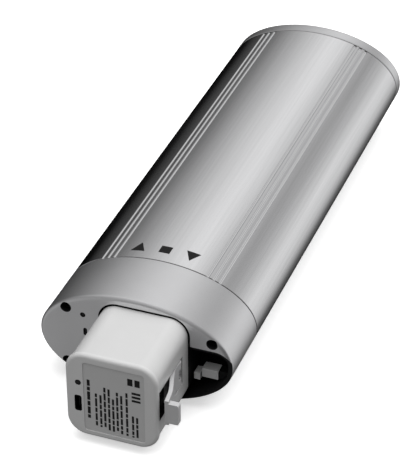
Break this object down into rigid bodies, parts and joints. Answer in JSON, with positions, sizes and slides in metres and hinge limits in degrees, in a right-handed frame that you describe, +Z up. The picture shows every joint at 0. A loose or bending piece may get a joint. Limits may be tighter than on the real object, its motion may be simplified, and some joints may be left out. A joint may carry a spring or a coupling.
{
  "type": "battery shutter motor",
  "caption": "Oval aluminium-cased shutter gearmotor with an output spindle at one end and a slide-out rechargeable battery pack with a release lever at the other.",
  "frame": {"origin": "Where the output spindle's axis meets the drive end face.", "axes": "+Y along the spindle, away from the housing; +Z up, with the oval's broad side lying flat; +X to the right when looking along +Y."},
  "size_m": [0.1, 0.3513, 0.0572],
  "materials": {
    "anodised_tube": "satin anodised, brushed along its length",
    "silver_plastic": "satin silver-grey moulding",
    "black_plastic": "matt black moulding",
    "grey_plastic": "fine moulded texture",
    "black_steel": "black oxide",
    "zinc_steel": "bright zinc plate",
    "smoked_lens": "smoked clear",
    "seal_rubber": "matt",
    "pack_white": "satin pale grey moulding",
    "pack_grey": "satin mid grey moulding",
    "contact_brass": "bright",
    "circuit_board": "solder mask",
    "electronics": "moulded packages",
    "magnet": "dark ferrite",
    "windings": "enamelled copper",
    "bronze": "sintered",
    "gear_plastic": "natural acetal",
    "cell_wrap": "shrink sleeve",
    "lead_red": "insulation"
  },
  "bodies": {
    "housing": {"body_tube": "anodised_tube", "battery_end_cap": "silver_plastic", "latch_well": "black_plastic", "latch_strike": "grey_plastic", "battery_cap_screws": "black_steel", "status_lens": "smoked_lens", "cap_gaskets": "seal_rubber", "battery_bay": "black_plastic", "contact_block": "black_plastic", "contact_blades": "contact_brass", "control_board": "circuit_board", "board_components": "electronics", "program_switch": "electronics", "antenna_wire": "seal_rubber", "motor_bulkhead": "black_plastic", "motor_damper": "seal_rubber", "motor_can": "zinc_steel", "motor_rear_cover": "black_plastic", "motor_magnets": "magnet", "motor_bearings": "bronze", "encoder_board": "circuit_board", "motor_leads": "lead_red", "motor_plate": "zinc_steel", "ring_gear": "gear_plastic", "output_bearings": "bronze", "gearbox_cover": "zinc_steel", "gearbox_screws": "black_steel", "drive_end_cap": "silver_plastic", "drive_cap_screws": "black_steel", "mounting_inserts": "contact_brass"},
    "battery_pack": {"pack_shell": "pack_white", "pack_front_cover": "pack_grey", "pack_rear_cover": "grey_plastic", "pack_contacts": "contact_brass", "charge_socket": "zinc_steel", "charge_lens": "smoked_lens", "battery_cells": "cell_wrap", "cell_holders": "black_plastic", "pack_boards": "circuit_board", "lever_pin": "zinc_steel", "lever_spring": "zinc_steel"},
    "release_lever": {"release_lever": "pack_white"},
    "program_button": {"program_button": "black_plastic"},
    "rotor": {"motor_shaft": "zinc_steel", "motor_armature": "windings", "motor_pinion": "bronze", "encoder_magnet": "magnet"},
    "stage1_carrier": {"stage1_carrier": "zinc_steel", "stage1_pins": "zinc_steel", "stage2_sun": "bronze"},
    "output": {"stage2_carrier": "zinc_steel", "stage2_pins": "zinc_steel", "output_spindle": "zinc_steel"},
    "stage1_planet_a": {"stage1_planet_a": "gear_plastic"},
    "stage1_planet_b": {"stage1_planet_b": "gear_plastic"},
    "stage1_planet_c": {"stage1_planet_c": "gear_plastic"},
    "stage2_planet_a": {"stage2_planet_a": "gear_plastic"},
    "stage2_planet_b": {"stage2_planet_b": "gear_plastic"},
    "stage2_planet_c": {"stage2_planet_c": "gear_plastic"}
  },
  "joints": [
    {"name": "battery_slide", "type": "slide", "parent": "housing", "child": "battery_pack", "axis": [0, -1, 0], "range_m": [-0.0413, 0.06]},
    {"name": "release_press", "type": "hinge", "parent": "battery_pack", "child": "release_lever", "pos_m": [0.0264, -0.3003, 0], "axis": [0, 0, 1], "range_deg": [-3.5, 0], "stiffness_Nm_per_rad": 0.06},
    {"name": "button_press", "type": "slide", "parent": "housing", "child": "program_button", "axis": [0, 1, 0], "range_m": [0, 0.0005], "stiffness_N_per_m": 600},
    {"name": "output_spin", "type": "hinge", "parent": "housing", "child": "output", "pos_m": [0, 0, 0], "axis": [0, 1, 0], "continuous": true},
    {"name": "carrier_spin", "type": "hinge", "parent": "housing", "child": "stage1_carrier", "pos_m": [0, -0.0332, 0], "axis": [0, 1, 0], "continuous": true},
    {"name": "rotor_spin", "type": "hinge", "parent": "housing", "child": "rotor", "pos_m": [0, -0.09, 0], "axis": [0, 1, 0], "continuous": true},
    {"name": "stage1_planet_a_spin", "type": "hinge", "parent": "stage1_carrier", "child": "stage1_planet_a", "pos_m": [0.01125, -0.0398, 0], "axis": [0, 1, 0], "continuous": true},
    {"name": "stage1_planet_b_spin", "type": "hinge", "parent": "stage1_carrier", "child": "stage1_planet_b", "pos_m": [-0.00562, -0.0398, 0.00974], "axis": [0, 1, 0], "continuous": true},
    {"name": "stage1_planet_c_spin", "type": "hinge", "parent": "stage1_carrier", "child": "stage1_planet_c", "pos_m": [-0.00562, -0.0398, -0.00974], "axis": [0, 1, 0], "continuous": true},
    {"name": "stage2_planet_a_spin", "type": "hinge", "parent": "output", "child": "stage2_planet_a", "pos_m": [0.01125, -0.0266, 0], "axis": [0, 1, 0], "continuous": true},
    {"name": "stage2_planet_b_spin", "type": "hinge", "parent": "output", "child": "stage2_planet_b", "pos_m": [-0.00562, -0.0266, 0.00974], "axis": [0, 1, 0], "continuous": true},
    {"name": "stage2_planet_c_spin", "type": "hinge", "parent": "output", "child": "stage2_planet_c", "pos_m": [-0.00562, -0.0266, -0.00974], "axis": [0, 1, 0], "continuous": true}
  ],
  "couplings": [
    {"joint": "carrier_spin", "follows": "output_spin", "ratio": 5},
    {"joint": "rotor_spin", "follows": "output_spin", "ratio": 25},
    {"joint": "stage1_planet_a_spin", "follows": "output_spin", "ratio": -13.333},
    {"joint": "stage1_planet_b_spin", "follows": "output_spin", "ratio": -13.333},
    {"joint": "stage1_planet_c_spin", "follows": "output_spin", "ratio": -13.333},
    {"joint": "stage2_planet_a_spin", "follows": "output_spin", "ratio": -2.6667},
    {"joint": "stage2_planet_b_spin", "follows": "output_spin", "ratio": -2.6667},
    {"joint": "stage2_planet_c_spin", "follows": "output_spin", "ratio": -2.6667}
  ]
}
